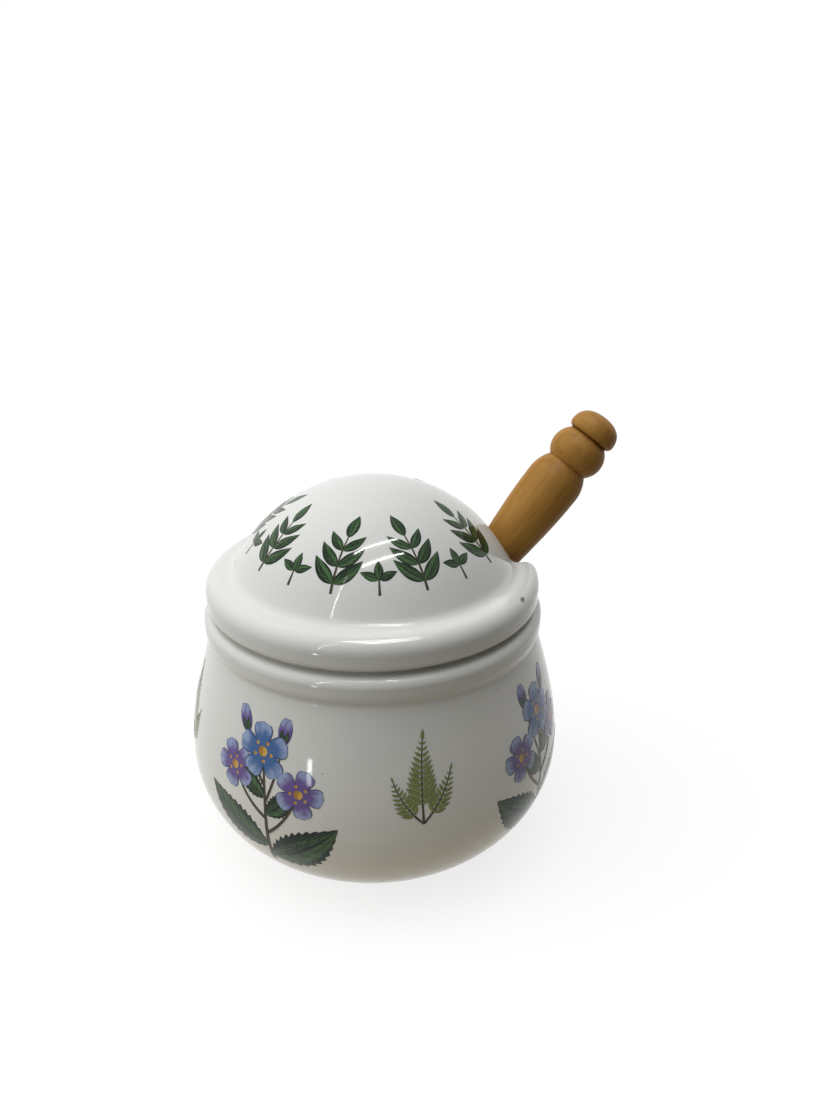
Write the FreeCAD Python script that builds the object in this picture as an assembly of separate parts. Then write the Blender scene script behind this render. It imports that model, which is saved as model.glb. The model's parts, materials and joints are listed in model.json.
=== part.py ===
import FreeCAD, Part
import math
import os

# A honey pot: a squat glazed pot, a domed lift-off lid with an open notch,
# and a turned wooden dipper that leans out through the notch.
# Lengths are in millimetres and angles in degrees.
# The origin is the middle of the foot on the table, +Z is up, and the dipper leans towards +X.

# Pot
BELLY_RADIUS = 50.0
BELLY_HEIGHT = 25.9
FOOT_RADIUS = 35.6
FOOT_ROUND = 1.5
FOOT_RING_WIDTH = 4.5
FOOT_RECESS = 2.0
BASE_THICKNESS = 5.0
POT_WALL = 4.0
SEAT_HEIGHT = 66.8
MOUTH_RADIUS = 35.5
MOUTH_DEPTH = 9.8
LIP_ROUND = 1.5
SEAT_WIDTH = 3.0
COLLAR_HEIGHT = 8.0
COLLAR_BULGE = 4.2
COLLAR_TOP_ROUND = 2.2
# The height of the rounding that leads from the neck out to the collar's side
COLLAR_UNDERSIDE = 2.5
# The collar's top is this far below the seat, in a rounded groove under the lid's rim
GROOVE_DEPTH = 1.3
GROOVE_ROUND = 0.5
NECK_DEPTH = 1.0
NECK_ROUND = 1.6
# The shoulder leans in by this share of its height where it meets the collar
SHOULDER_SLOPE_SHARE = 0.27

# Lid
FLANGE_CLEARANCE = 0.6
FLANGE_WALL = 3.4
FLANGE_DEPTH = 6.0
FLANGE_ROUND = 1.0
RIM_OVERHANG = 3.2
RIM_HEIGHT = 8.1
RIM_TOP_ROUND = 3.9
RIM_EDGE_ROUND = 1.8
RIM_WIDTH = 6.9
DOME_HEIGHT = 22.5
LID_WALL = 4.0
VALLEY_ROUND = 3.0
NOTCH_CLEARANCE = 1.4
NOTCH_EDGE_ROUND = 0.8

# Dipper
LEAN = 38.8
DIPPER_CLEARANCE = 0.3
HEAD_LENGTH = 27.0
HEAD_RADIUS = 11.0
HEAD_END_RADIUS = 6.5
GROOVE_COUNT = 5
GROOVE_WIDTH = 2.2
GROOVE_FLOOR_RADIUS = 5.0
FIN_ROUND = 0.5
STEM_RADIUS = 4.4
GRIP_RADIUS = 5.5
HANDLE_RADIUS = 7.6
HANDLE_FLARE = 29.0
HANDLE_SHOULDER = 6.0
LOWER_NECK_RADIUS = 5.65
BEAD_RADIUS = 7.5
BEAD_LENGTH = 9.0
UPPER_NECK_RADIUS = 5.2
CAP_RADIUS = 6.6
CAP_LENGTH = 6.8
CAP_SKIRT = 1.6
# How full the cap's domed end is: its control points lie at this share of its height and radius
CAP_FULLNESS_SHARE = 0.65

# Cuts run past the faces that they open by this much
OVERRUN = 5.0
# Two measures closer than this are the same
SAME = 0.001

# Radii and heights that follow from the sizes above
SEAT_RADIUS = MOUTH_RADIUS + LIP_ROUND + SEAT_WIDTH
COLLAR_RADIUS = SEAT_RADIUS + COLLAR_BULGE
NECK_RADIUS = COLLAR_RADIUS - NECK_DEPTH
NECK_HEIGHT = SEAT_HEIGHT - COLLAR_HEIGHT
GROOVE_HEIGHT = SEAT_HEIGHT - GROOVE_DEPTH
FLOOR_HEIGHT = FOOT_RECESS + BASE_THICKNESS
FLANGE_RADIUS = MOUTH_RADIUS - FLANGE_CLEARANCE
RIM_RADIUS = SEAT_RADIUS + RIM_OVERHANG
RIM_TOP = SEAT_HEIGHT + RIM_HEIGHT
DOME_FOOT_RADIUS = RIM_RADIUS - RIM_WIDTH
LEAN_SIN = math.sin(math.radians(LEAN))
LEAN_COS = math.cos(math.radians(LEAN))
AXIS_UP = FreeCAD.Vector(0, 0, 1)
ORIGIN = FreeCAD.Vector(0, 0, 0)
# The middle of the lip's rounding, and how far from it the dipper's axis passes
LIP_CENTRE = FreeCAD.Vector(MOUTH_RADIUS + LIP_ROUND, 0, SEAT_HEIGHT - LIP_ROUND)
LIP_STAND_OFF = LIP_ROUND + GRIP_RADIUS + DIPPER_CLEARANCE
# The height of the middle of the dipper's lower end, whose edge is the dipper's lowest point
TIP_HEIGHT = FLOOR_HEIGHT + DIPPER_CLEARANCE + HEAD_END_RADIUS * LEAN_SIN


def point(radius, height):
    """A point of an outline, in the plane of the axis."""
    return FreeCAD.Vector(radius, 0, height)


def line(start, end):
    return Part.LineSegment(start, end).toShape()


def arc(start, middle, end):
    return Part.Arc(start, middle, end).toShape()


def corner(start, end, centre):
    """The short arc from start to end round a centre."""
    radius = (start - centre).Length
    middle = centre + ((start - centre) + (end - centre)).normalize() * radius
    return arc(start, middle, end)


def crest_arc(crest, end):
    """An arc that leaves the crest parallel to the axis and comes down to end."""
    drop = crest.x - end.x
    rise = end.z - crest.z
    radius = (drop ** 2 + rise ** 2) / (2 * drop)
    half_turn = math.atan2(drop, abs(rise))
    middle_rise = math.copysign(radius * math.sin(half_turn), rise)
    middle = point(crest.x - radius * (1 - math.cos(half_turn)), crest.z + middle_rise)
    return arc(crest, middle, end)


def bezier(*poles):
    curve = Part.BezierCurve()
    curve.setPoles(list(poles))
    return curve.toShape()


def turned(edges):
    """The solid that a closed outline sweeps round the Z axis."""
    return Part.Face(Part.Wire(edges)).revolve(ORIGIN, AXIS_UP, 360)


def real_edges(shape):
    """The edges of a shape that have a length."""
    return [edge for edge in shape.Edges if not edge.Degenerated]


def circles(shape):
    return [edge for edge in real_edges(shape) if isinstance(edge.Curve, Part.Circle)]


def ring_edges(shape, radius, height):
    """The circles of a turned shape that have this radius and height."""
    return [
        edge for edge in circles(shape)
        if abs(edge.Curve.Radius - radius) < SAME and abs(edge.Curve.Center.z - height) < SAME
    ]


def middle_of(edge):
    return edge.valueAt((edge.FirstParameter + edge.LastParameter) / 2)


def lies_on(where, shape):
    """Whether a point is on the surface of a solid."""
    return Part.Vertex(where).distToShape(shape.Shells[0])[0] < SAME


def rounded(shape, radius, edges):
    return shape.makeFillet(radius, edges).Solids[0]


def pot_body():
    recess_radius = FOOT_RADIUS - FOOT_RING_WIDTH
    belly_inside = BELLY_RADIUS - POT_WALL
    floor_radius = belly_inside - (BELLY_HEIGHT - FLOOR_HEIGHT)
    throat_height = SEAT_HEIGHT - MOUTH_DEPTH
    shoulder_third = (NECK_HEIGHT - BELLY_HEIGHT) / 3
    throat_third = (throat_height - BELLY_HEIGHT) / 3

    recess_middle = point(0, FOOT_RECESS)
    recess_edge = point(recess_radius, FOOT_RECESS)
    foot_inner = point(recess_radius, 0)
    foot_outer = point(FOOT_RADIUS - FOOT_ROUND, 0)
    foot_side = point(FOOT_RADIUS, FOOT_ROUND)
    belly = point(BELLY_RADIUS, BELLY_HEIGHT)
    neck = point(NECK_RADIUS, NECK_HEIGHT)
    collar_low = point(COLLAR_RADIUS, NECK_HEIGHT + COLLAR_UNDERSIDE)
    collar_high = point(COLLAR_RADIUS, GROOVE_HEIGHT - COLLAR_TOP_ROUND)
    collar_land = point(COLLAR_RADIUS - COLLAR_TOP_ROUND, GROOVE_HEIGHT)
    groove = point(SEAT_RADIUS, GROOVE_HEIGHT)
    seat_outer = point(SEAT_RADIUS, SEAT_HEIGHT)
    seat_inner = point(MOUTH_RADIUS + LIP_ROUND, SEAT_HEIGHT)
    lip = point(MOUTH_RADIUS, SEAT_HEIGHT - LIP_ROUND)
    throat = point(MOUTH_RADIUS, throat_height)
    belly_wall = point(belly_inside, BELLY_HEIGHT)
    floor_edge = point(floor_radius, FLOOR_HEIGHT)
    floor_middle = point(0, FLOOR_HEIGHT)

    shoulder = bezier(
        belly,
        belly + AXIS_UP * shoulder_third,
        neck + point(SHOULDER_SLOPE_SHARE * shoulder_third, -shoulder_third),
        neck,
    )
    inner_shoulder = bezier(
        throat,
        throat + point(SHOULDER_SLOPE_SHARE * throat_third, -throat_third),
        belly_wall + AXIS_UP * throat_third,
        belly_wall,
    )
    body = turned([
        line(recess_middle, recess_edge),
        line(recess_edge, foot_inner),
        line(foot_inner, foot_outer),
        corner(foot_outer, foot_side, point(FOOT_RADIUS - FOOT_ROUND, FOOT_ROUND)),
        crest_arc(belly, foot_side),
        shoulder,
        crest_arc(collar_low, neck),
        line(collar_low, collar_high),
        corner(collar_high, collar_land, point(collar_land.x, collar_high.z)),
        line(collar_land, groove),
        line(groove, seat_outer),
        line(seat_outer, seat_inner),
        corner(seat_inner, lip, LIP_CENTRE),
        line(lip, throat),
        inner_shoulder,
        corner(belly_wall, floor_edge, point(floor_radius, BELLY_HEIGHT)),
        line(floor_edge, floor_middle),
        line(floor_middle, recess_middle),
    ])
    body = rounded(body, NECK_ROUND, ring_edges(body, NECK_RADIUS, NECK_HEIGHT))
    return rounded(body, GROOVE_ROUND, ring_edges(body, SEAT_RADIUS, GROOVE_HEIGHT))


def lean_axis_x(height):
    """How far from the pot's axis the dipper's axis crosses a height."""
    return LIP_CENTRE.x - LIP_STAND_OFF / LEAN_COS + (height - LIP_CENTRE.z) * LEAN_SIN / LEAN_COS


def notch():
    """An upright slot with a round end, open at the rim, that the dipper leans through."""
    half_width = HANDLE_RADIUS + NOTCH_CLEARANCE
    end_x = lean_axis_x(RIM_TOP) - GRIP_RADIUS / LEAN_COS
    bottom = SEAT_HEIGHT - FLANGE_DEPTH - OVERRUN
    height = RIM_TOP + DOME_HEIGHT + OVERRUN - bottom
    length = RIM_RADIUS + OVERRUN - end_x - half_width
    round_end = Part.makeCylinder(half_width, height, FreeCAD.Vector(end_x + half_width, 0, bottom))
    slot = Part.makeBox(
        length, 2 * half_width, height, FreeCAD.Vector(end_x + half_width, -half_width, bottom)
    )
    return round_end.fuse(slot).removeSplitter()


def lid():
    flange_bottom = SEAT_HEIGHT - FLANGE_DEPTH
    dome_radius = (DOME_FOOT_RADIUS ** 2 + DOME_HEIGHT ** 2) / (2 * DOME_HEIGHT)
    dome_top = RIM_TOP + DOME_HEIGHT
    dome_centre = point(0, dome_top - dome_radius)

    flange_middle = point(0, flange_bottom)
    flange_under = point(FLANGE_RADIUS - FLANGE_ROUND, flange_bottom)
    flange_low = point(FLANGE_RADIUS, flange_bottom + FLANGE_ROUND)
    flange_top = point(FLANGE_RADIUS, SEAT_HEIGHT)
    rim_under = point(RIM_RADIUS - RIM_EDGE_ROUND, SEAT_HEIGHT)
    rim_low = point(RIM_RADIUS, SEAT_HEIGHT + RIM_EDGE_ROUND)
    rim_high = point(RIM_RADIUS, RIM_TOP - RIM_TOP_ROUND)
    rim_land = point(RIM_RADIUS - RIM_TOP_ROUND, RIM_TOP)
    dome_foot = point(DOME_FOOT_RADIUS, RIM_TOP)
    dome_peak = point(0, dome_top)

    outside = turned([
        line(flange_middle, flange_under),
        corner(flange_under, flange_low, point(flange_under.x, flange_low.z)),
        line(flange_low, flange_top),
        line(flange_top, rim_under),
        corner(rim_under, rim_low, point(rim_under.x, rim_low.z)),
        line(rim_low, rim_high),
        corner(rim_high, rim_land, point(rim_land.x, rim_high.z)),
        line(rim_land, dome_foot),
        corner(dome_foot, dome_peak, dome_centre),
        line(dome_peak, flange_middle),
    ])
    outside = rounded(outside, VALLEY_ROUND, ring_edges(outside, DOME_FOOT_RADIUS, RIM_TOP))
    ball = Part.makeSphere(dome_radius - LID_WALL, dome_centre)
    bore_start = point(0, flange_bottom - OVERRUN)
    bore = Part.makeCylinder(FLANGE_RADIUS - FLANGE_WALL, dome_top - bore_start.z, bore_start)
    opening = notch()
    shell = outside.cut(ball.common(bore)).cut(opening).Solids[0]
    notch_edges = [
        edge for edge in real_edges(shell)
        if middle_of(edge).z > SEAT_HEIGHT + SAME
        and lies_on(middle_of(edge), opening)
        and lies_on(middle_of(edge), outside)
    ]
    return rounded(shell, NOTCH_EDGE_ROUND, notch_edges)


def upright_dipper():
    """The dipper along +Z, with the lower end of its head at the origin."""
    lip_station = (LIP_CENTRE.z - TIP_HEIGHT + LIP_STAND_OFF * LEAN_SIN) / LEAN_COS
    handle_station = lip_station + HANDLE_FLARE
    lower_neck_station = handle_station + HANDLE_SHOULDER
    upper_neck_station = lower_neck_station + BEAD_LENGTH
    skirt_station = upper_neck_station + CAP_SKIRT
    end_station = upper_neck_station + CAP_LENGTH

    head_end = point(HEAD_END_RADIUS, 0)
    head_waist = point(HEAD_RADIUS, HEAD_LENGTH / 2)
    head_top = point(HEAD_END_RADIUS, HEAD_LENGTH)
    stem = point(STEM_RADIUS, HEAD_LENGTH)
    grip = point(GRIP_RADIUS, lip_station)
    handle = point(HANDLE_RADIUS, handle_station)
    lower_neck = point(LOWER_NECK_RADIUS, lower_neck_station)
    bead = point(BEAD_RADIUS, (lower_neck_station + upper_neck_station) / 2)
    upper_neck = point(UPPER_NECK_RADIUS, upper_neck_station)
    cap = point(CAP_RADIUS, skirt_station)
    end = point(0, end_station)

    taper = Part.BSplineCurve()
    taper.interpolate(Points=[stem, grip, handle], InitialTangent=AXIS_UP, FinalTangent=AXIS_UP)
    cap_dome = bezier(
        cap,
        cap + AXIS_UP * CAP_FULLNESS_SHARE * (end_station - skirt_station),
        end + point(CAP_FULLNESS_SHARE * CAP_RADIUS, 0),
        end,
    )
    stick = turned([
        line(ORIGIN, head_end),
        arc(head_end, head_waist, head_top),
        line(head_top, stem),
        taper.toShape(),
        crest_arc(handle, lower_neck),
        arc(lower_neck, bead, upper_neck),
        crest_arc(cap, upper_neck),
        cap_dome,
        line(end, ORIGIN),
    ])
    pitch = HEAD_LENGTH / (GROOVE_COUNT + 1)
    for number in range(GROOVE_COUNT):
        groove_start = point(0, (number + 1) * pitch - GROOVE_WIDTH / 2)
        disc = Part.makeCylinder(HEAD_RADIUS + OVERRUN, GROOVE_WIDTH, groove_start)
        core = Part.makeCylinder(GROOVE_FLOOR_RADIUS, GROOVE_WIDTH, groove_start)
        stick = stick.cut(disc.cut(core)).Solids[0]
    fin_edges = [
        edge for edge in circles(stick)
        if edge.Curve.Radius > HEAD_END_RADIUS - SAME and edge.Curve.Center.z < HEAD_LENGTH + SAME
    ]
    return rounded(stick, FIN_ROUND, fin_edges)


def dipper():
    """The dipper in place: its head near the pot's floor and its grip near the pot's lip."""
    stick = upright_dipper()
    stick.rotate(ORIGIN, FreeCAD.Vector(0, 1, 0), LEAN)
    stick.translate(point(lean_axis_x(TIP_HEIGHT), TIP_HEIGHT))
    return stick


os.makedirs("parts", exist_ok=True)
for name, make in (("pot_body", pot_body), ("lid", lid), ("dipper", dipper)):
    shape = make()
    box = shape.optimalBoundingBox()
    print(name, shape.ShapeType, shape.isValid(), len(shape.Solids), round(shape.Volume))
    print("  x", round(box.XMin, 2), round(box.XMax, 2), "z", round(box.ZMin, 2), round(box.ZMax, 2))
    shape.exportStep("parts/" + name + ".step")
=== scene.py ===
import json
import math

import bpy
from mathutils import Matrix, Vector


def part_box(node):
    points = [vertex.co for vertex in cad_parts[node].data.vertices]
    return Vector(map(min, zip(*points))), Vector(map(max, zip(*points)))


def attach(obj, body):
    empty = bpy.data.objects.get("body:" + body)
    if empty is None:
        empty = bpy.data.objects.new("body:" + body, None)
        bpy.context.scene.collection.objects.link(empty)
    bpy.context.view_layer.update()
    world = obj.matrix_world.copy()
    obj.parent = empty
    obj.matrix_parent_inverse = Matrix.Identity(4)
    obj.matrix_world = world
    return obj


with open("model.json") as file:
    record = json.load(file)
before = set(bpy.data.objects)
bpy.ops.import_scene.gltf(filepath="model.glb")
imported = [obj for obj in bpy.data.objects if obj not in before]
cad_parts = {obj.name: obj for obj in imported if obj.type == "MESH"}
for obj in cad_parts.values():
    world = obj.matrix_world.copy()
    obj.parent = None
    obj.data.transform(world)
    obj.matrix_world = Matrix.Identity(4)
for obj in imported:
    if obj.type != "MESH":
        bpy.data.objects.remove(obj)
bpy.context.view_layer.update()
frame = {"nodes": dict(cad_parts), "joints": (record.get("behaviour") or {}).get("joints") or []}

# The looks of a honey pot: its glaze, its wooden dipper and the sprigs printed on it.
# Lengths are in metres, angles in degrees, and colours are linear red, green, blue and alpha.
# Azimuths are seen from above: 0 is +X, where the lid's notch is, and they grow towards +Y.

# Camera, at the photograph's viewing angle
CAMERA_DISTANCE = 0.21576
CAMERA_HEIGHT = 0.16982
CAMERA_AZIMUTH = -102.4
CAMERA_YAW = 2.835
CAMERA_PITCH = 23.084
CAMERA_ROLL = 0.094
FOCAL_LENGTH_PIXELS = 900
PHOTO_HEIGHT_PIXELS = 1104
SENSOR_MILLIMETRES = 36
CLIP_NEAR = 0.01
CLIP_FAR = 50.0

RIGHT_ANGLE = 90
FULL_TURN = 360

# Lamps, which only make glints: two ceiling tubes, a tall strip at the left
# and a small low lamp beside it
TUBE_LENGTH = 0.82
TUBE_WIDTH = 0.016
TUBE_HEIGHT = 1.59
TUBE_SPACING = 0.33
TUBE_MIDDLE = (0.045, -0.29)
TUBE_AZIMUTH = 12.4
TUBE_POWER = 7.0
STRIP_LENGTH = 1.28
STRIP_WIDTH = 0.014
STRIP_HEIGHT = 0.87
STRIP_AZIMUTH = -137.0
STRIP_DISTANCE = 0.9
STRIP_POWER = 1.0
LOW_LAMP_LENGTH = 0.022
LOW_LAMP_WIDTH = 0.008
LOW_LAMP_HEIGHT = 0.013
LOW_LAMP_AZIMUTH = -136.0
LOW_LAMP_DISTANCE = 0.188
LOW_LAMP_POWER = 0.008

# Surround, which gives all the soft light: a little from everywhere, and glows
WORLD_AROUND = 0.01
# Each glow's azimuth, elevation, sharpness and strength
GLOWS = (
    (-155, 20, 5, 0.55),
    (165, 30, 8, 1.5),
    (165, 70, 8, 2.2),
    (30, 70, 8, 1.4),
)

# Floor: white with a soft shadow where it is seen, and a warm bounce near the pot
FLOOR_SIZE = 12.0
FLOOR_BOUNCE_NEAR = (0.46, 0.38, 0.235, 1)
FLOOR_BOUNCE_FAR = (0.05, 0.045, 0.03, 1)
FLOOR_BOUNCE_FADE = (0.06, 0.2)
FLOOR_SHADOW_COLOUR = (0.25, 0.25, 0.25, 1)
FLOOR_GLOW = 0.8
FLOOR_FADE = (0.16, 0.5)
WHITE = (1, 1, 1, 1)
BLACK = (0, 0, 0, 1)

# How many finer layers a noise has
SOFT_DETAIL = 1
MIDDLE_DETAIL = 2
FINE_DETAIL = 3
FINEST_DETAIL = 4

# Times a place, this keeps its X and Y and drops its Z
LEVEL = (1, 1, 0)

# Glaze
GLAZE_COOL = (0.775, 0.788, 0.773, 1)
GLAZE_WARM = (0.824, 0.833, 0.79, 1)
GLAZE_ROUGHNESS = 0.06
CLOUD_SCALE = 45
RIPPLE_SCALE = 70
RIPPLE_HEIGHT = 0.000011
PEEL_SCALE = 700
PEEL_HEIGHT = 0.000002
PINHOLE_COLOUR = (0.33, 0.3, 0.26, 1)
PINHOLE_SCALE = 95
PINHOLE_SIZE_SHARES = (0.03, 0.016)
PINHOLE_RARITY_SHARES = (0.72, 0.74)
PINHOLE_STRENGTH_SHARE = 0.55
# Painted shade: the rim's small pits, which the shape lacks, are near-black spots
PIT_SHADE_COLOUR = (0.035, 0.034, 0.028, 1)
# Each pit's place and radius
RIM_PITS = (((0.0308, -0.0283, 0.0740), 0.0009), ((0.0303, -0.0290, 0.0739), 0.0011))
CLAY = (0.62, 0.53, 0.42, 1)
CLAY_ROUGHNESS = 0.78
GLAZE_LINE = 0.0006
GLAZE_LINE_SOFTNESS = 0.0002
SEAT_SKIN = 0.00006
SEAT_INNER_RADIUS = 0.0354

# Wood
WOOD_LIGHT = (0.455, 0.23, 0.05, 1)
WOOD_DEEP = (0.325, 0.148, 0.026, 1)
# The colour of the painted shade in the wood's grooves
WOOD_CREVICE_SHADE = (0.17, 0.062, 0.01, 1)
WOOD_PORE = (0.16, 0.066, 0.016, 1)
PITH = (0.034, 0.021, 0)
RING_SPACING = 0.0017
RING_WOBBLE = 0.0026
WOBBLE_SCALE = 55
BLOTCH_SCALE = 75
FIBRE_SCALE = 1100
FIBRE_STRETCH_SHARE = 0.035
FIBRE_HEIGHT = 0.00002
PORE_SCALE = 2600
PORE_RARITY_SHARES = (0.66, 0.74)
PORE_STRENGTH_SHARE = 0.3
RING_WEIGHT = 0.06
BLOTCH_WEIGHT = 0.5
FIBRE_WEIGHT = 0.5
WOOD_TONE_SHARES = (0.36, 0.84)
# Painted shade: the wood is darkened where its own shape shelters it from light, as in its grooves
CREVICE_REACH = 0.0055
CREVICE_SHARES = (0.85, 0.4)
CREVICE_SHADE_STRENGTH_SHARE = 0.85
CREVICE_SAMPLES = 8
WOOD_ROUGHNESS_SHARES = (0.4, 0.54)
WOOD_SPECULAR = 0.12

# Print: each sheet stands proud of the glaze by its layer and reaches below the glaze
PRINT_LAYER = 0.00003
PRINT_STEP = 0.000004
PRINT_SINK = 0.00005
LEAST_HALF_WIDTH = 0.00004
TINT_STRIDE = 0.618034

# Inks
INK_SPECULAR = 0.22
LEAF_DEEP = (0.006, 0.024, 0.009, 1)
LEAF_FRESH = (0.08, 0.18, 0.06, 1)
LEAF_LINE = (0.003, 0.008, 0.006, 1)
FROND_DEEP = (0.2, 0.26, 0.055, 1)
FROND_FRESH = (0.42, 0.49, 0.17, 1)
FROND_LINE = (0.075, 0.09, 0.03, 1)
PETAL_BLUE = (0.065, 0.17, 0.43, 1)
PETAL_VIOLET = (0.17, 0.105, 0.36, 1)
PETAL_PALE = (0.36, 0.46, 0.7, 1)
PETAL_LINE = (0.02, 0.035, 0.12, 1)
STEM_DEEP = (0.03, 0.036, 0.014, 1)
STEM_FRESH = (0.12, 0.085, 0.045, 1)
POLLEN_DEEP = (0.45, 0.2, 0.03, 1)
POLLEN_FRESH = (0.75, 0.5, 0.09, 1)

# Leaf ink: streaks, a lighter half and a darker edge, with veins, a midrib and an outline over them
LEAF_STREAK_SCALES = (2.2, 11, 37)
LEAF_STREAK_WEIGHT = 1.5
LEAF_HALF_SHARES = (-0.15, 0.2)
LEAF_HALF_WEIGHT = 0.16
LEAF_TINT_WEIGHT = 0.12
LEAF_EDGE_SHARES = (0.5, 0.95)
LEAF_EDGE_WEIGHT = -0.35
LEAF_LIGHT_SHARES = (0.66, 1.1)
LEAF_VEINS = 6
FROND_VEINS = 5
VEIN_SLANT = -1.4
VEIN_SHARES = (0.72, 0.98)
VEIN_STRENGTH_SHARE = 0.6
MIDRIB_SHARES = (0.11, 0.05)
LEAF_OUTLINE_SHARES = (0.8, 0.95)

# Petal ink: blue or violet that pales towards the tip, with rays and an outline over it
PETAL_HUE_SHARES = (0.35, 0.65)
PETAL_WASH_SCALES = (3, 2, 41)
PETAL_WASH_SHARES = (0.12, 0.6)
PETAL_PALE_SHARES = (0.25, 0.95)
PETAL_RAYS = 4
RAY_SHARES = (0.55, 0.95)
RAY_REACH_SHARES = (0.8, 0.3)
RAY_STRENGTH_SHARE = 0.6
PETAL_TIP_SHARES = (0.96, 1)
PETAL_OUTLINE_SHARES = (0.86, 0.98)

# Washed ink: streaks that darken towards one side
WASH_SCALES = (9, 1.5, 29)
WASH_SIDE_WEIGHT = 0.3
WASH_LIGHT_SHARES = (0.3, 0.75)

# Outlines of the printed shapes
LEAF_FULLEST_POWER = 0.8
LEAF_ROUND_POWER = 0.9
LEAF_TEETH = 11
TOOTH_SHARES = (0.88, 0.24)
PETAL_FULLNESS_SHARE = 1.25
PETAL_FOOT_POWER = 0.6
PETAL_TIP_POWER = 5
BELL_SHARES = (0.08, 0.85)
STEM_TAPER_SHARE = 0.55

# Blossom: its sizes are shares of its radius, and a hue goes from 0 for blue to 1 for violet
PETAL_LAYERS = (0, 1, 0, 1, 2)
PETAL_TURN = 72
PETAL_BEND = 8
PETAL_WIDTH_SHARE = 0.82
EYE_SHARE = 0.36
STAMEN_PLACE_SHARE = 0.34
STAMEN_SHARE = 0.13
VIOLET_HUE_SHARE = 0.85
BLUE_HUE_SHARE = 0.15
HUE_SWING_SHARE = 0.12
HUE_STRIDE = 2.4

# Bud: its sizes are shares of its length
BUD_WIDTH_SHARE = 0.6
BUD_HUE_SHARE = 0.9
CUP_SPREAD = 28
CUP_LENGTH_SHARE = 0.55
CUP_WIDTH_SHARE = 0.22

# Frond: its leaflets stand from a start along its stem, swell at first and then shorten
FROND_STEM_WIDTH = 0.0006
LEAFLET_START_SHARE = 0.24
LEAFLET_SPAN_SHARE = 0.72
LEAFLET_TAPER_POWER = 0.75
LEAFLET_SWELL_SHARES = (0.3, 2.2)
LEAFLET_SPREAD = 62
LEAFLET_BEND_SHARE = 0.35
LEAFLET_WIDTH_SHARE = 0.34
FROND_TIP_PLACE_SHARE = 0.94
FROND_TIP_LENGTH_SHARE = 0.12
FROND_TIP_WIDTH_SHARE = 0.04

# A sprig's foot on its plane: u, v and heading
UPWARD = 90
FOOT = (0, 0, UPWARD)

# Blossom spray on the pot
SPRAY_LEAN = 5
SPRAY_LENGTH = 0.0310
SPRAY_BEND = -14
SPRAY_STEM_WIDTH = 0.0012
BUD_STEM_WIDTH = 0.0008
BUD_LENGTH = 0.0062
BLOSSOM_STEM_WIDTH = 0.0009
# Toothed leaves: along the stem, turn from it, length, width and bend
SPRAY_LEAVES = (
    (0.08, 62, 0.0235, 0.0108, -24),
    (0.20, -76, 0.0225, 0.0102, 26),
    (0.52, 56, 0.0125, 0.0056, -18),
    (0.66, -58, 0.0115, 0.0052, 20),
)
# Buds: along the stem, turn from it, stem length and bend
SPRAY_BUDS = (
    (0.62, 26, 0.0165, -18),
    (0.76, -34, 0.0135, 22),
)
# Blossoms: along the stem, turn from it, stem length, bend, radius and whether it is violet
SPRAY_BLOSSOMS = (
    (0.34, 50, 0.0160, -34, 0.0064, True),
    (0.48, -60, 0.0150, 36, 0.0062, True),
    (1.00, 0, 0.0010, 0, 0.0072, False),
)

# Fern on the pot. Fronds: turn, length, bend, longest leaflet and pairs of leaflets
FERN_FRONDS = (
    (-44, 0.0150, 30, 0.0048, 8),
    (46, 0.0140, -32, 0.0046, 8),
    (3, 0.0220, -10, 0.0064, 11),
)

# Leafy sprig on the lid. Pairs of leaves: along the stem and length
SPRIG_LENGTH = 0.0150
SPRIG_BEND = 9
SPRIG_PAIRS = ((0.16, 0.0084), (0.44, 0.0076), (0.72, 0.0062))
SPRIG_LEAF_SPREAD = 54
SPRIG_LEAF_WIDTH_SHARE = 0.4
SPRIG_LEAF_BEND_SHARE = 0.4
SPRIG_TIP_PLACE_SHARE = 0.96
SPRIG_TIP_LENGTH = 0.0068
SPRIG_TIP_WIDTH = 0.0029

# Trefoil on the lid
TREFOIL_LENGTH = 0.0042
TREFOIL_TURNS = (-68, 68, 0)
TREFOIL_LEAF_PLACE_SHARE = 0.9
TREFOIL_LEAF_LENGTH = 0.0046
TREFOIL_LEAF_WIDTH = 0.0022
LID_STEM_WIDTH = 0.0007

# Where the sprigs stand
POT_PRINT_HEIGHTS = (0.004, 0.058)
POT_SPRAYS = 4
SPRAY_FOOT_HEIGHT = 0.0130
FERN_FOOT_HEIGHT = 0.0300
LID_PRINT_HEIGHTS = (0.0785, 0.0969)
LID_PLACES = 9
LID_FOOT_STATION = 0.0015


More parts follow.
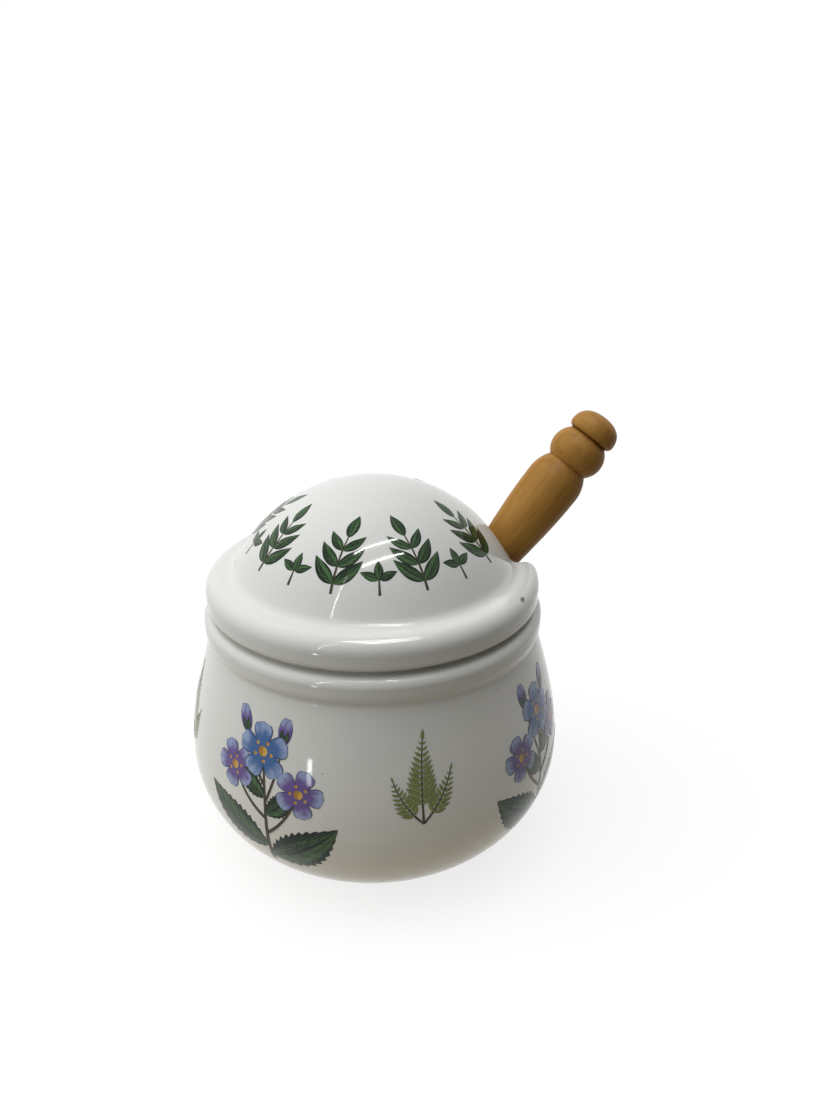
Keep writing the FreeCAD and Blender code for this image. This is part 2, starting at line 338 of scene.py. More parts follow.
class Nodes:
    """A node tree that is built socket by socket."""

    def __init__(self, tree):
        self.tree = tree

    def put(self, socket, value):
        """Feeds a socket from another socket, or sets its constant."""
        if isinstance(value, bpy.types.NodeSocket):
            self.tree.links.new(value, socket)
        else:
            socket.default_value = value

    def add(self, kind, settings, inputs):
        """Adds a node whose inputs are given by name or by number."""
        node = self.tree.nodes.new(kind)
        for name, value in settings.items():
            setattr(node, name, value)
        for name, value in inputs.items():
            self.put(node.inputs[name], value)
        return node

    def math(self, operation, *values):
        node = self.add("ShaderNodeMath", {"operation": operation}, dict(enumerate(values)))
        return node.outputs[0]

    def vector(self, operation, *values):
        node = self.add("ShaderNodeVectorMath", {"operation": operation}, dict(enumerate(values)))
        return node.outputs["Value" if operation in ("LENGTH", "DOT_PRODUCT") else "Vector"]

    def split(self, vector):
        return self.add("ShaderNodeSeparateXYZ", {}, {"Vector": vector}).outputs

    def weigh(self, *terms):
        """The sum of values, each times its weight."""
        total = 0
        for value, weight in terms:
            total = self.math("MULTIPLY_ADD", value, weight, total)
        return total

    def most(self, first, *others):
        for value in others:
            first = self.math("MAXIMUM", first, value)
        return first

    def ease(self, value, start, end):
        """0 before start, 1 after end and a soft step between them."""
        inputs = {"Value": value, "From Min": start, "From Max": end}
        node = self.add("ShaderNodeMapRange", {"interpolation_type": "SMOOTHSTEP"}, inputs)
        return node.outputs["Result"]

    def between(self, value, low, high):
        """A value from 0 to 1, moved to the range from low to high."""
        node = self.add("ShaderNodeMapRange", {}, {"Value": value, "To Min": low, "To Max": high})
        return node.outputs["Result"]

    def blend(self, share, first, second):
        node = self.add("ShaderNodeMix", {"data_type": "RGBA"}, {"Factor": share})
        colours = [socket for socket in node.inputs if socket.type == "RGBA"]
        self.put(colours[0], first)
        self.put(colours[1], second)
        return next(socket for socket in node.outputs if socket.type == "RGBA")

    def noise(self, vector, scale, detail):
        inputs = {"Vector": vector, "Scale": scale, "Detail": detail}
        return self.add("ShaderNodeTexNoise", {}, inputs).outputs["Fac"]

    def seen_directly(self):
        """1 for rays that show the background: camera, glossy and transmission rays."""
        path = self.add("ShaderNodeLightPath", {}, {}).outputs
        return self.most(path["Is Camera Ray"], path["Is Glossy Ray"], path["Is Transmission Ray"])


class Shader(Nodes):
    """One procedural material around its principled surface."""

    def __init__(self, name):
        self.material = bpy.data.materials.new(name)
        self.material.use_nodes = True
        super().__init__(self.material.node_tree)
        self.surface = self.tree.nodes["Principled BSDF"]

    def finish(self, **inputs):
        """Sets the surface's own sockets, named with _ for spaces, and returns the material."""
        for name, value in inputs.items():
            self.put(self.surface.inputs[name.replace("_", " ")], value)
        return self.material

    def finish_ink(self, colour):
        """An ink that lies on the glaze and shines less than it."""
        return self.finish(
            Base_Color=colour, Roughness=GLAZE_ROUGHNESS, Specular_IOR_Level=INK_SPECULAR,
            Normal=self.glaze_bump())

    def place(self):
        """Where the shaded point lies on the piece, in the row frame at rest."""
        return self.add("ShaderNodeTexCoord", {}, {}).outputs["Object"]

    def mark(self):
        """What a printed sheet says of a point: how far along it is, how far across, and its tint."""
        return self.add("ShaderNodeAttribute", {"attribute_name": "ink"}, {}).outputs["Vector"]

    def bump(self, height, distance, normal=None):
        inputs = {"Height": height, "Distance": distance}
        if normal is not None:
            inputs["Normal"] = normal
        return self.add("ShaderNodeBump", {}, inputs).outputs["Normal"]

    def glaze_bump(self):
        """The slow ripple and the fine orange peel of a poured glaze."""
        place = self.place()
        ripple = self.bump(self.noise(place, RIPPLE_SCALE, SOFT_DETAIL), RIPPLE_HEIGHT)
        return self.bump(self.noise(place, PEEL_SCALE, MIDDLE_DETAIL), PEEL_HEIGHT, ripple)


def glaze(name, bare_of, pits=()):
    """White glaze with faint clouds and pinholes, and pits painted dark as shade, over clay that is
    bare where bare_of says so.
    """
    shader = Shader(name)
    place = shader.place()
    colour = shader.blend(shader.noise(place, CLOUD_SCALE, FINE_DETAIL), GLAZE_COOL, GLAZE_WARM)
    cells = shader.add("ShaderNodeTexVoronoi", {}, {"Vector": place, "Scale": PINHOLE_SCALE})
    chosen = shader.ease(shader.split(cells.outputs["Color"])[0], *PINHOLE_RARITY_SHARES)
    hole = shader.ease(cells.outputs["Distance"], *PINHOLE_SIZE_SHARES)
    pinhole = shader.math("MULTIPLY", hole, chosen)
    stain_and_shade = shader.math("MULTIPLY", pinhole, PINHOLE_STRENGTH_SHARE)
    colour = shader.blend(stain_and_shade, colour, PINHOLE_COLOUR)
    # Painted shade: each pit is drawn as a near-black spot in the glaze colour
    for spot, radius in pits:
        away = shader.vector("LENGTH", shader.vector("SUBTRACT", place, spot))
        colour = shader.blend(shader.ease(away, radius, 0), colour, PIT_SHADE_COLOUR)
    bare = bare_of(shader, place)
    clay = shader.blend(shader.noise(place, PEEL_SCALE, FINEST_DETAIL), CLAY, GLAZE_WARM)
    roughness = shader.between(bare, GLAZE_ROUGHNESS, CLAY_ROUGHNESS)
    return shader.finish(
        Base_Color=shader.blend(bare, colour, clay), Roughness=roughness, Normal=shader.glaze_bump())


def bare_pot(shader, place):
    """Bare clay on the foot ring and on the flat seat for the lid."""
    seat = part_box("pot_body")[1].z
    height = shader.split(place)[2]
    ragged = shader.noise(place, PEEL_SCALE, MIDDLE_DETAIL)
    wander = shader.weigh((height, 1), (ragged, -GLAZE_LINE))
    return shader.most(
        shader.ease(wander, GLAZE_LINE_SOFTNESS, 0), shader.ease(height, seat - SEAT_SKIN, seat))


def bare_lid(shader, place):
    """Bare clay on the flat underside of the rim, which rests on the pot's seat."""
    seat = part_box("pot_body")[1].z
    flat = shader.math("COMPARE", shader.split(place)[2], seat, SEAT_SKIN)
    radius = shader.vector("LENGTH", shader.vector("MULTIPLY", place, LEVEL))
    return shader.math("MULTIPLY", flat, shader.math("GREATER_THAN", radius, SEAT_INNER_RADIUS))


def wood(name):
    """Amber wood, with soft blotches, faint growth rings and fibres along the dipper's own axis, and
    painted shade in its grooves.
    """
    shader = Shader(name)
    axis = Vector(next(j["axis"] for j in frame["joints"] if j["child"] == "dipper"))
    lean = math.atan2(axis.x, axis.z)
    across = Vector((math.cos(lean), 0, -math.sin(lean)))
    sides = [across.dot(v.co) for v in frame["nodes"]["dipper"].data.vertices]
    middle = (min(sides) + max(sides)) / 2
    inputs = {"Vector": shader.place(), "Location": (-middle, 0, 0), "Rotation": (0, -lean, 0)}
    place = shader.add("ShaderNodeMapping", {}, inputs).outputs["Vector"]
    drawn = shader.vector("MULTIPLY", place, (1, 1, FIBRE_STRETCH_SHARE))
    from_pith = shader.vector("SUBTRACT", shader.vector("MULTIPLY", place, LEVEL), PITH)
    wobble = shader.noise(place, WOBBLE_SCALE, MIDDLE_DETAIL)
    depth = shader.weigh((shader.vector("LENGTH", from_pith), 1), (wobble, RING_WOBBLE))
    rings = shader.math("SINE", shader.math("MULTIPLY", depth, math.tau / RING_SPACING))
    fibres = shader.noise(drawn, FIBRE_SCALE, FINE_DETAIL)
    blotches = shader.noise(place, BLOTCH_SCALE, MIDDLE_DETAIL)
    tone = shader.weigh((rings, RING_WEIGHT), (fibres, FIBRE_WEIGHT), (blotches, BLOTCH_WEIGHT))
    colour = shader.blend(shader.ease(tone, *WOOD_TONE_SHARES), WOOD_LIGHT, WOOD_DEEP)
    pores = shader.ease(shader.noise(drawn, PORE_SCALE, SOFT_DETAIL), *PORE_RARITY_SHARES)
    colour = shader.blend(shader.math("MULTIPLY", pores, PORE_STRENGTH_SHARE), colour, WOOD_PORE)
    # Painted shade: darker where the dipper's own shape shelters the point from light, as in its
    # grooves
    settings = {"samples": CREVICE_SAMPLES, "only_local": True}
    shelter = shader.add("ShaderNodeAmbientOcclusion", settings, {"Distance": CREVICE_REACH})
    crevice_shade = shader.ease(shelter.outputs["AO"], *CREVICE_SHARES)
    stain_and_shade = shader.math("MULTIPLY", crevice_shade, CREVICE_SHADE_STRENGTH_SHARE)
    colour = shader.blend(stain_and_shade, colour, WOOD_CREVICE_SHADE)
    return shader.finish(
        Base_Color=colour, Roughness=shader.between(fibres, *WOOD_ROUGHNESS_SHARES),
        Specular_IOR_Level=WOOD_SPECULAR, Normal=shader.bump(fibres, FIBRE_HEIGHT))


def leaf_ink(name, deep, fresh, line, veins):
    """A leaf in ink: a dark outline, a midrib and side veins over brushed streaks, one half lighter."""
    shader = Shader(name)
    mark = shader.mark()
    along, across, tint = shader.split(mark)
    off_rib = shader.math("ABSOLUTE", across)
    streaks = shader.noise(shader.vector("MULTIPLY", mark, LEAF_STREAK_SCALES), 1, FINE_DETAIL)
    half = shader.ease(across, *LEAF_HALF_SHARES)
    light = shader.weigh(
        (streaks, LEAF_STREAK_WEIGHT), (half, LEAF_HALF_WEIGHT), (tint, LEAF_TINT_WEIGHT))
    light = shader.weigh((light, 1), (shader.ease(off_rib, *LEAF_EDGE_SHARES), LEAF_EDGE_WEIGHT))
    colour = shader.blend(shader.ease(light, *LEAF_LIGHT_SHARES), deep, fresh)
    slant = shader.weigh((along, veins), (off_rib, VEIN_SLANT))
    wave = shader.math("SINE", shader.math("MULTIPLY", slant, math.tau))
    vein = shader.ease(wave, *VEIN_SHARES)
    drawn = shader.most(
        shader.ease(off_rib, *LEAF_OUTLINE_SHARES), shader.ease(off_rib, *MIDRIB_SHARES),
        shader.math("MULTIPLY", vein, VEIN_STRENGTH_SHARE))
    return shader.finish_ink(shader.blend(drawn, colour, line))


def petal_ink(name):
    """A petal in blue or violet, paler towards its tip, with rays from its foot and a thin outline."""
    shader = Shader(name)
    mark = shader.mark()
    along, across, tint = shader.split(mark)
    colour = shader.blend(shader.ease(tint, *PETAL_HUE_SHARES), PETAL_BLUE, PETAL_VIOLET)
    wash = shader.noise(shader.vector("MULTIPLY", mark, PETAL_WASH_SCALES), 1, FINE_DETAIL)
    pale = shader.math("MULTIPLY", shader.ease(along, *PETAL_PALE_SHARES), wash)
    colour = shader.blend(shader.ease(pale, *PETAL_WASH_SHARES), colour, PETAL_PALE)
    wave = shader.math("SINE", shader.math("MULTIPLY", across, PETAL_RAYS * math.tau))
    rays = shader.ease(wave, *RAY_SHARES)
    rays = shader.math("MULTIPLY", rays, shader.ease(along, *RAY_REACH_SHARES))
    drawn = shader.most(
        shader.math("MULTIPLY", rays, RAY_STRENGTH_SHARE), shader.ease(along, *PETAL_TIP_SHARES),
        shader.ease(shader.math("ABSOLUTE", across), *PETAL_OUTLINE_SHARES))
    return shader.finish_ink(shader.blend(drawn, colour, PETAL_LINE))


def wash_ink(name, deep, fresh):
    """A small brushed mark, such as a stem or a dot, darker along one side."""
    shader = Shader(name)
    mark = shader.mark()
    wash = shader.noise(shader.vector("MULTIPLY", mark, WASH_SCALES), 1, FINE_DETAIL)
    light = shader.weigh((wash, 1), (shader.split(mark)[1], WASH_SIDE_WEIGHT))
    return shader.finish_ink(shader.blend(shader.ease(light, *WASH_LIGHT_SHARES), deep, fresh))


class Skin:
    """The outer surface of a turned CAD node between two heights.

    It is read from the node's mesh on the side away from the notch, as rings that each hold
    a radius, a height and the outward and upward parts of the normal.
    """

    SPACING = 0.0004
    OUTWARD_SHARE = 0.15

    def __init__(self, node, low, high):
        mesh = frame["nodes"][node].data
        rings = {}
        for loop, normal in zip(mesh.loops, mesh.corner_normals):
            spot = mesh.vertices[loop.vertex_index].co
            radius = math.hypot(spot.x, spot.y)
            if spot.x > 0 or not low <= spot.z <= high or radius == 0:
                continue
            outward = (normal.vector.x * spot.x + normal.vector.y * spot.y) / radius
            if outward > self.OUTWARD_SHARE:
                ring = (radius, spot.z, outward, normal.vector.z)
                rings.setdefault(round(spot.z / self.SPACING), ring)
        self.rings = [rings[key] for key in sorted(rings)]
        self.stations = [0.0]
        for one, two in zip(self.rings, self.rings[1:]):
            self.stations.append(self.stations[-1] + math.dist(one[:2], two[:2]))

    def station_at(self, height):
        """How far along the outline a height lies."""
        ring = min(range(len(self.rings)), key=lambda i: abs(self.rings[i][1] - height))
        return self.stations[ring]

    def profile(self, station):
        """Radius, height and outward normal at a station, on a smooth curve through the rings."""
        last = len(self.rings) - 2
        i = next((k for k in range(last) if self.stations[k + 1] > station), last)
        span = self.stations[i + 1] - self.stations[i]
        t = (station - self.stations[i]) / span
        one, two = self.rings[i], self.rings[i + 1]
        stay, go = (1 + 2 * t) * (1 - t) ** 2, t * t * (3 - 2 * t)
        leave, arrive = t * (1 - t) ** 2 * span, t * t * (t - 1) * span
        radius = stay * one[0] + go * two[0] - leave * one[3] - arrive * two[3]
        height = stay * one[1] + go * two[1] + leave * one[2] + arrive * two[2]
        normal = Vector((one[2] * (1 - t) + two[2] * t, one[3] * (1 - t) + two[3] * t)).normalized()
        return radius, height, normal


class Plane:
    """A drawing plane laid on a skin: u runs to the right and v up, from a foot on the skin."""

    def __init__(self, skin, azimuth, foot, side):
        self.skin = skin
        self.azimuth = math.radians(azimuth)
        self.foot = foot
        self.side = side

    def spot(self, u, v, lift):
        """The point at u and v, that far above the skin, and the skin's normal there."""
        radius, height, normal = self.skin.profile(self.foot + v)
        angle = self.azimuth + self.side * u / radius
        outward = Vector((math.cos(angle), math.sin(angle), 0))
        place = outward * (radius + lift * normal[0])
        place.z = height + lift * normal[1]
        return place, Vector((outward.x * normal[0], outward.y * normal[0], normal[1]))


def sweep(start, turn, length, bend):
    """A centre line that leaves a start (u, v, heading) at a turn from its heading and bends evenly."""
    u, v, heading = start
    first, curve = math.radians(heading + turn), math.radians(bend)

    def at(a):
        half = curve * a / 2
        reach = length * a * (math.sin(half) / half if half else 1)
        middle = first + half
        return u + reach * math.cos(middle), v + reach * math.sin(middle), math.degrees(middle + half)

    return at


# The outlines: how much of its full width a shape has at a share of the way along it
def leaf_share(a):
    return math.sin(math.pi * a ** LEAF_FULLEST_POWER) ** LEAF_ROUND_POWER


def toothed_share(a):
    root, tooth = TOOTH_SHARES
    return leaf_share(a) * (root + tooth * ((a * LEAF_TEETH) % 1))


def petal_share(a):
    return PETAL_FULLNESS_SHARE * a ** PETAL_FOOT_POWER * math.sqrt(1 - a ** PETAL_TIP_POWER)


def bell_share(a):
    start, span = BELL_SHARES
    return math.sqrt(math.sin(math.pi * min(1, start + span * a)))


def dot_share(a):
    return math.sqrt(max(0, 1 - (2 * a - 1) ** 2))


def stem_share(a):
    return 1 - STEM_TAPER_SHARE * a


# Each printed shape's ink, outline, and divisions along and across it
SHAPES = {
    "stem": ("stem", stem_share, 20, 2),
    "leaf": ("leaf", leaf_share, 14, 4),
    "toothed": ("leaf", toothed_share, 44, 6),
    "leaflet": ("frond", leaf_share, 8, 4),
    "petal": ("petal", petal_share, 10, 6),
    "bell": ("petal", bell_share, 8, 4),
    "dot": ("pollen", dot_share, 8, 4),
}


class Ink:
    """The printed shapes of one ink on one body, gathered into one mesh of thin closed sheets."""

    def __init__(self, name, body, material):
        self.name = name
        self.body = body
        self.material = material
        self.places, self.normals, self.marks, self.faces = [], [], [], []

    def draw(self, plane, lift, line, width, share, tint, steps, lanes):
        """Adds one sheet along a centre line, as wide as share says of width."""
        first = len(self.places)
        for level, facing in ((lift, 1), (-PRINT_SINK, -1)):
            for i in range(steps + 1):
                a = i / steps
                u, v, heading = line(a)
                angle = math.radians(heading)
                half = max(LEAST_HALF_WIDTH, width / 2 * share(a))
                for j in range(lanes + 1):
                    b = 2 * j / lanes - 1
                    aside, up = -b * half * math.sin(angle), b * half * math.cos(angle)
                    place, normal = plane.spot(u + aside, v + up, level)
                    self.places.append(place)
                    self.normals.append(normal * facing)
                    self.marks.append((a, b, tint))
        self.faces += self.closed_faces(first, steps, lanes, plane.side)

    @staticmethod
    def closed_faces(first, steps, lanes, side):
        """The faces of one sheet: its top, its underside and the wall around them."""
        row = lanes + 1
        under = (steps + 1) * row
        faces = []
        for i in range(steps):
            for j in range(lanes):
                k = first + i * row + j
                faces.append((k, k + row, k + row + 1, k + 1))
                faces.append((k + under, k + under + 1, k + under + row + 1, k + under + row))
        edge = [first + j for j in range(row)]
        edge += [first + i * row + lanes for i in range(1, steps + 1)]
        edge += [first + steps * row + j for j in range(lanes - 1, -1, -1)]
        edge += [first + i * row for i in range(steps - 1, 0, -1)]
        for one, two in zip(edge, edge[1:] + edge[:1]):
            faces.append((one, two, two + under, one + under))
        return [face if side > 0 else face[::-1] for face in faces]

    def make(self):
        """Turns the gathered sheets into one piece that rides on its body."""
        mesh = bpy.data.meshes.new(self.name)
        mesh.from_pydata(self.places, [], self.faces)
        mesh.attributes.new("ink", "FLOAT_VECTOR", "POINT")
        mesh.attributes["ink"].data.foreach_set("vector", [x for mark in self.marks for x in mark])
        mesh.polygons.foreach_set("use_smooth", [True] * len(mesh.polygons))
        mesh.normals_split_custom_set_from_vertices(self.normals)
        mesh.materials.append(self.material)
        piece = bpy.data.objects.new(self.name, mesh)
        bpy.context.scene.collection.objects.link(piece)
        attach(piece, self.body)


class Prints:
    """The inks of one body, in which its sprigs are drawn."""

    def __init__(self, body, materials):
        self.inks = {kind: Ink(f"{body}_{kind}_print", body, ink) for kind, ink in materials.items()}
        self.count = 0

    def tint(self):
        """A tint from 0 to 1 that differs from shape to shape and is the same on every run."""
        self.count += 1
        return (self.count * TINT_STRIDE) % 1

    def make(self):
        for ink in self.inks.values():
            if ink.faces:
                ink.make()


class Sprig:
    """One printed sprig on its plane. Shapes lie in layers, and higher layers cover lower ones."""

    def __init__(self, prints, plane):
        self.prints = prints
        self.plane = plane
        self.layer = 0

    def draw(self, shape, line, width, tint=None):
        ink, share, steps, lanes = SHAPES[shape]
        tint = self.prints.tint() if tint is None else tint
        lift = PRINT_LAYER + self.layer * PRINT_STEP
        self.prints.inks[ink].draw(self.plane, lift, line, width, share, tint, steps, lanes)

    def stem(self, line, width):
        self.draw("stem", line, width)

    def leaf(self, shape, start, turn, length, width, bend):
        self.layer += 1
        self.draw(shape, sweep(start, turn, length, bend), width)

    def dot(self, u, v, size):
        self.draw("dot", sweep((u, v - size / 2, UPWARD), 0, size, 0), size)

    def blossom(self, start, radius, violet):
        """Five petals around an eye, with a stamen between each two."""
        u, v, heading = start
        lowest = self.layer + 1
        main_hue = VIOLET_HUE_SHARE if violet else BLUE_HUE_SHARE
        for k, above in enumerate(PETAL_LAYERS):
            self.layer = lowest + above
            hue = main_hue + HUE_SWING_SHARE * math.sin(k * HUE_STRIDE)
            line = sweep(start, PETAL_TURN * k, radius, PETAL_BEND)
            self.draw("petal", line, radius * PETAL_WIDTH_SHARE, hue)
        self.layer += 1
        self.dot(u, v, radius * EYE_SHARE)
        for k in range(len(PETAL_LAYERS)):
            angle = math.radians(heading + PETAL_TURN * k + PETAL_TURN / 2)
            away = radius * STAMEN_PLACE_SHARE
            self.dot(u + away * math.cos(angle), v + away * math.sin(angle), radius * STAMEN_SHARE)

    def bud(self, start, length):
        """A closed violet bell in a small green cup."""
        self.layer += 1
        self.draw("bell", sweep(start, 0, length, 0), length * BUD_WIDTH_SHARE, BUD_HUE_SHARE)
        for spread in (-CUP_SPREAD, CUP_SPREAD):
            self.leaf(
                "leaf", start, spread, length * CUP_LENGTH_SHARE, length * CUP_WIDTH_SHARE, -spread)

    def frond(self, start, turn, length, bend, longest, pairs):
        """A feathery frond: pairs of leaflets that shorten towards the tip of a thin stem."""
        line = sweep(start, turn, length, bend)
        lowest = self.layer + 1
        self.layer = lowest
        self.draw("stem", line, FROND_STEM_WIDTH)
        swell, growth = LEAFLET_SWELL_SHARES
        for k in range(pairs):
            a = LEAFLET_START_SHARE + LEAFLET_SPAN_SHARE * k / pairs
            reach = longest * (1 - a) ** LEAFLET_TAPER_POWER * min(1, swell + growth * a)
            self.layer = lowest + 1 + k % 2
            for spread in (-LEAFLET_SPREAD, LEAFLET_SPREAD):
                leaflet = sweep(line(a), spread, reach, -spread * LEAFLET_BEND_SHARE)
                self.draw("leaflet", leaflet, reach * LEAFLET_WIDTH_SHARE)
        tip = sweep(line(FROND_TIP_PLACE_SHARE), 0, length * FROND_TIP_LENGTH_SHARE, 0)
        self.draw("leaflet", tip, length * FROND_TIP_WIDTH_SHARE)


def blossom_spray(sprig):
    """An upright spray: broad toothed leaves below, then buds and blossoms on side stems."""
    main = sweep(FOOT, SPRAY_LEAN, SPRAY_LENGTH, SPRAY_BEND)
    sprig.stem(main, SPRAY_STEM_WIDTH)
    for along, turn, length, width, bend in SPRAY_LEAVES:
        sprig.leaf("toothed", main(along), turn, length, width, bend)
    for along, turn, length, bend in SPRAY_BUDS:
        line = sweep(main(along), turn, length, bend)
        sprig.stem(line, BUD_STEM_WIDTH)
        sprig.bud(line(1), BUD_LENGTH)
    for along, turn, length, bend, radius, violet in SPRAY_BLOSSOMS:
        line = sweep(main(along), turn, length, bend)
        sprig.stem(line, BLOSSOM_STEM_WIDTH)
        sprig.blossom(line(1), radius, violet)


def fern(sprig):
    """Three fronds from one foot."""
    for turn, length, bend, longest, pairs in FERN_FRONDS:
        sprig.frond(FOOT, turn, length, bend, longest, pairs)


def lid_sprig(sprig):
    """A small stem with three pairs of leaves and one at its tip."""
    line = sweep(FOOT, 0, SPRIG_LENGTH, SPRIG_BEND)
    sprig.stem(line, LID_STEM_WIDTH)
    for along, length in SPRIG_PAIRS:
        for spread in (-SPRIG_LEAF_SPREAD, SPRIG_LEAF_SPREAD):
            width, bend = length * SPRIG_LEAF_WIDTH_SHARE, -spread * SPRIG_LEAF_BEND_SHARE
            sprig.leaf("leaf", line(along), spread, length, width, bend)
    sprig.leaf("leaf", line(SPRIG_TIP_PLACE_SHARE), 0, SPRIG_TIP_LENGTH, SPRIG_TIP_WIDTH, 0)


def lid_trefoil(sprig):
    """Three leaves on a short stem."""
    line = sweep(FOOT, 0, TREFOIL_LENGTH, 0)
    sprig.stem(line, LID_STEM_WIDTH)
    for turn in TREFOIL_TURNS:
        start = line(TREFOIL_LEAF_PLACE_SHARE)
        sprig.leaf("leaf", start, turn, TREFOIL_LEAF_LENGTH, TREFOIL_LEAF_WIDTH, 0)


def print_pot(materials):
    """Blossom sprays stand around the belly, with a fern high up between each two."""
    prints = Prints("pot", materials)
    skin = Skin("pot_body", *POT_PRINT_HEIGHTS)
    spray_foot = skin.station_at(SPRAY_FOOT_HEIGHT)
    fern_foot = skin.station_at(FERN_FOOT_HEIGHT)
    step = FULL_TURN / POT_SPRAYS
    for k in range(POT_SPRAYS):
        side = 1 if k % 2 else -1
        blossom_spray(Sprig(prints, Plane(skin, step / 2 + step * k, spray_foot, side)))
        fern(Sprig(prints, Plane(skin, step * k, fern_foot, side)))
    prints.make()


def print_lid(materials):
    """Leafy sprigs stand around the dome, with a trefoil between each two, away from the notch."""
    prints = Prints("lid", materials)
    skin = Skin("lid", *LID_PRINT_HEIGHTS)
    step = FULL_TURN / LID_PLACES
    for k in range(1, LID_PLACES):
        side = 1 if k % 2 else -1
        lid_sprig(Sprig(prints, Plane(skin, step * k, LID_FOOT_STATION, side)))
    for k in range(1, LID_PLACES - 1):
        lid_trefoil(Sprig(prints, Plane(skin, step / 2 + step * k, LID_FOOT_STATION, 1)))
    prints.make()


def dress():
    """Gives the CAD nodes their finishes and prints the sprigs."""
    finishes = {
        "pot_body": glaze("white_pot_glaze", bare_pot),
        "lid": glaze("white_lid_glaze", bare_lid, RIM_PITS),
        "dipper": wood("amber_wood"),
    }
    for node, finish in finishes.items():
        frame["nodes"][node].data.materials[0] = finish
    materials = {
        "stem": wash_ink("stem_ink", STEM_DEEP, STEM_FRESH),
        "frond": leaf_ink("frond_ink", FROND_DEEP, FROND_FRESH, FROND_LINE, FROND_VEINS),
        "leaf": leaf_ink("leaf_ink", LEAF_DEEP, LEAF_FRESH, LEAF_LINE, LEAF_VEINS),
        "petal": petal_ink("petal_ink"),
        "pollen": wash_ink("pollen_ink", POLLEN_DEEP, POLLEN_FRESH),
    }
    print_pot(materials)
    print_lid(materials)


def make_floor():
    """A plain floor that looks white, keeps the shadow and fades into the background."""
    half = FLOOR_SIZE / 2
    mesh = bpy.data.meshes.new("floor")
    corners = [(-half, -half, 0), (half, -half, 0), (half, half, 0), (-half, half, 0)]
    mesh.from_pydata(corners, [], [(0, 1, 2, 3)])
    floor = bpy.data.objects.new("floor", mesh)
    bpy.context.scene.collection.objects.link(floor)
    shader = Shader("pale_floor")
    distance = shader.vector("LENGTH", shader.place())
    fade = shader.ease(distance, *FLOOR_FADE)
    shadow_colour = shader.blend(fade, FLOOR_SHADOW_COLOUR, BLACK)
    shadow = shader.add("ShaderNodeBsdfDiffuse", {}, {"Color": shadow_colour}).outputs[0]
    glow_strength = shader.between(fade, FLOOR_GLOW, 1)
    glow = shader.add("ShaderNodeEmission", {}, {"Color": WHITE, "Strength": glow_strength}).outputs[0]
    shown = shader.add("ShaderNodeAddShader", {}, {0: shadow, 1: glow}).outputs[0]
    bounce_colour = shader.blend(
        shader.ease(distance, *FLOOR_BOUNCE_FADE), FLOOR_BOUNCE_NEAR, FLOOR_BOUNCE_FAR)
    bounce = shader.add("ShaderNodeBsdfDiffuse", {}, {"Color": bounce_colour}).outputs[0]
    chosen = shader.add("ShaderNodeMixShader", {}, {0: shader.seen_directly(), 1: bounce, 2: shown})
    shader.put(shader.tree.nodes["Material Output"].inputs["Surface"], chosen.outputs[0])
    shader.tree.nodes.remove(shader.surface)
    mesh.materials.append(shader.material)


def make_world():
    """A surround that shows as white and lights the object with soft glows, most at the left."""
    world = bpy.data.worlds.new("studio")
    bpy.context.scene.world = world
    world.use_nodes = True
    nodes = Nodes(world.node_tree)
    direction = nodes.add("ShaderNodeTexCoord", {}, {}).outputs["Generated"]
    level = WORLD_AROUND
    for azimuth, elevation, sharpness, strength in GLOWS:
        rise = math.radians(elevation)
        source = polar(azimuth, math.cos(rise), math.sin(rise))
        facing = nodes.math("MAXIMUM", nodes.vector("DOT_PRODUCT", direction, source), 0)
        level = nodes.math("MULTIPLY_ADD", nodes.math("POWER", facing, sharpness), strength, level)
    background = nodes.tree.nodes["Background"]
    nodes.put(background.inputs["Color"], WHITE)
    nodes.put(background.inputs["Strength"], nodes.between(nodes.seen_directly(), level, 1))


def make_lamp(name, place, aim, size, power, roll=0):
    """An area lamp at a place, turned to a point, that shows only as glints on what shines."""
    data = bpy.data.lights.new(name, "AREA")
    data.shape = "RECTANGLE"
    data.size, data.size_y = size
    data.energy = power
    lamp = bpy.data.objects.new(name, data)
    bpy.context.scene.collection.objects.link(lamp)
    turn = (Vector(aim) - Vector(place)).to_track_quat("-Z", "Y").to_matrix().to_4x4()
    lamp.matrix_world = Matrix.Translation(place) @ turn @ Matrix.Rotation(math.radians(roll), 4, "Z")
    lamp.visible_camera = False
    lamp.visible_diffuse = False


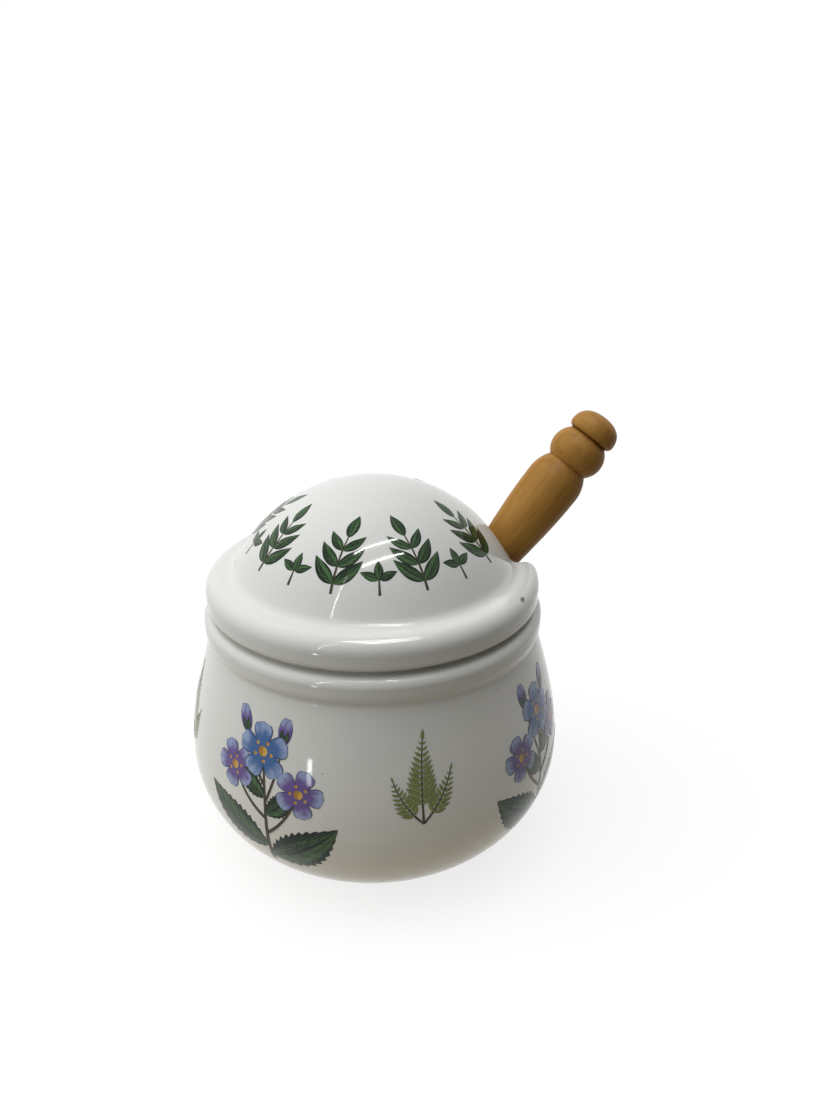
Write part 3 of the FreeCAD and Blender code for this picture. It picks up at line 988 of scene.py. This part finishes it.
def polar(azimuth, distance, height):
    angle = math.radians(azimuth)
    return Vector((distance * math.cos(angle), distance * math.sin(angle), height))


def make_lamps():
    aside = polar(TUBE_AZIMUTH + RIGHT_ANGLE, TUBE_SPACING / 2, 0)
    for side in (-1, 1):
        place = Vector((*TUBE_MIDDLE, TUBE_HEIGHT)) + side * aside
        below = place - Vector((0, 0, TUBE_HEIGHT))
        make_lamp(f"tube_{side}", place, below, (TUBE_LENGTH, TUBE_WIDTH), TUBE_POWER, TUBE_AZIMUTH)
    place = polar(STRIP_AZIMUTH, STRIP_DISTANCE, STRIP_HEIGHT)
    size = (STRIP_WIDTH, STRIP_LENGTH)
    make_lamp("strip", place, (0, 0, STRIP_HEIGHT), size, STRIP_POWER)
    place = polar(LOW_LAMP_AZIMUTH, LOW_LAMP_DISTANCE, LOW_LAMP_HEIGHT)
    size = (LOW_LAMP_WIDTH, LOW_LAMP_LENGTH)
    make_lamp("low_lamp", place, (0, 0, LOW_LAMP_HEIGHT), size, LOW_LAMP_POWER)


def make_camera():
    data = bpy.data.cameras.new("camera")
    data.sensor_width = SENSOR_MILLIMETRES
    data.lens = SENSOR_MILLIMETRES * FOCAL_LENGTH_PIXELS / PHOTO_HEIGHT_PIXELS
    data.clip_start, data.clip_end = CLIP_NEAR, CLIP_FAR
    camera = bpy.data.objects.new("camera", data)
    bpy.context.scene.collection.objects.link(camera)
    heading = Matrix.Rotation(math.radians(CAMERA_AZIMUTH + RIGHT_ANGLE - CAMERA_YAW), 4, "Z")
    tilt = Matrix.Rotation(math.radians(RIGHT_ANGLE - CAMERA_PITCH), 4, "X")
    roll = Matrix.Rotation(math.radians(CAMERA_ROLL), 4, "Z")
    place = polar(CAMERA_AZIMUTH, CAMERA_DISTANCE, CAMERA_HEIGHT)
    camera.matrix_world = Matrix.Translation(place) @ heading @ tilt @ roll
    bpy.context.scene.camera = camera


bpy.context.scene.view_settings.view_transform = "Standard"
dress()
make_floor()
make_world()
make_lamps()
make_camera()
